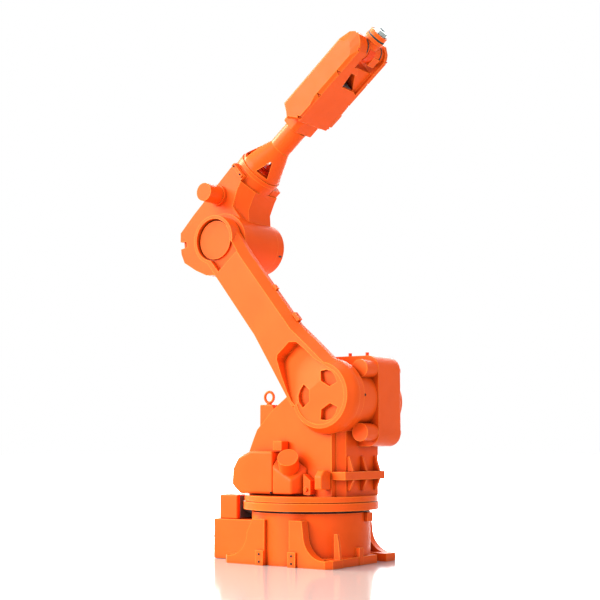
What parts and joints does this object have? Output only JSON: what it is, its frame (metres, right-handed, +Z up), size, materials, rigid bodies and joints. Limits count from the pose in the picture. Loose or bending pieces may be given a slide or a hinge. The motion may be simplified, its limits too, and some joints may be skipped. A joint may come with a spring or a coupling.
{
  "type": "industrial robot arm",
  "caption": "Painted articulated robot arm for factory work: round cast foot, turning column, leaning lower arm, raised forearm with a forked wrist, and a bare metal tool flange.",
  "frame": {"origin": "centre of the foot on the floor, on the axis the turntable turns about, in the plane of the foot plate underside", "axes": "+Z up, +X to the front, the way the arm reaches; +Y to the side of the shoulder motor, so the lower arm hangs on the -Y side"},
  "size_m": [1.0037, 0.552, 2.1902],
  "materials": {
    "orange_paint": "satin",
    "bare_metal": "machined",
    "gearbox_metal": "dull"
  },
  "bodies": {
    "base": {"base_casting": "orange_paint", "levelling_blocks": "orange_paint", "slewing_ring": "gearbox_metal", "turn_stop": "orange_paint", "connector_box": "orange_paint", "connector_hood": "orange_paint", "box_latch": "orange_paint"},
    "turntable": {"turning_flange": "orange_paint", "column_casting": "orange_paint", "shoulder_motor_cover": "orange_paint", "cover_plugs": "orange_paint", "fork_bracket": "orange_paint", "bracket_ribs": "orange_paint", "turn_motor_cover": "orange_paint", "gear_case": "orange_paint", "turn_motor_cap": "orange_paint", "oil_block": "orange_paint", "end_cap": "orange_paint", "junction_box": "orange_paint", "lifting_lug": "orange_paint", "eye_bolt": "orange_paint"},
    "lower_arm": {"lower_arm_casting": "orange_paint", "shoulder_output": "gearbox_metal", "elbow_cap": "orange_paint", "arm_stops": "orange_paint", "elbow_output_flange": "gearbox_metal"},
    "upper_arm": {"elbow_casting": "orange_paint", "elbow_motor_cover": "orange_paint", "roll_motor": "orange_paint", "roll_motor_ring": "orange_paint", "neck_bracket": "orange_paint", "roll_gearbox": "orange_paint"},
    "forearm": {"forearm_yoke": "orange_paint", "forearm_tube": "orange_paint", "forearm_collar": "orange_paint", "fork_casting": "orange_paint", "near_side_cover": "orange_paint", "far_side_cover": "orange_paint"},
    "wrist": {"wrist_housing": "orange_paint"},
    "tool_spindle": {"tool_ring_disc": "orange_paint", "tool_flange": "bare_metal"}
  },
  "joints": [
    {"name": "turn", "type": "hinge", "parent": "base", "child": "turntable", "pos_m": [0, 0, 0], "axis": [0, 0, 1], "range_deg": [-170, 170]},
    {"name": "shoulder", "type": "hinge", "parent": "turntable", "child": "lower_arm", "pos_m": [0.184, 0, 0.665], "axis": [0, 1, 0], "range_deg": [-20, 119]},
    {"name": "elbow", "type": "hinge", "parent": "lower_arm", "child": "upper_arm", "pos_m": [-0.36207, 0, 1.33455], "axis": [0, -1, 0], "range_deg": [-70, 95]},
    {"name": "forearm_roll", "type": "hinge", "parent": "upper_arm", "child": "forearm", "pos_m": [-0.48327, 0, 1.48475], "axis": [0.7782, 0, 0.628], "range_deg": [-180, 180]},
    {"name": "wrist_bend", "type": "hinge", "parent": "forearm", "child": "wrist", "pos_m": [0.27318, 0, 2.09513], "axis": [0, 1, 0], "range_deg": [-105, 105]},
    {"name": "tool_spin", "type": "hinge", "parent": "wrist", "child": "tool_spindle", "pos_m": [0.36058, 0, 2.16565], "axis": [0.7782, 0, 0.628], "range_deg": [-360, 360]}
  ]
}
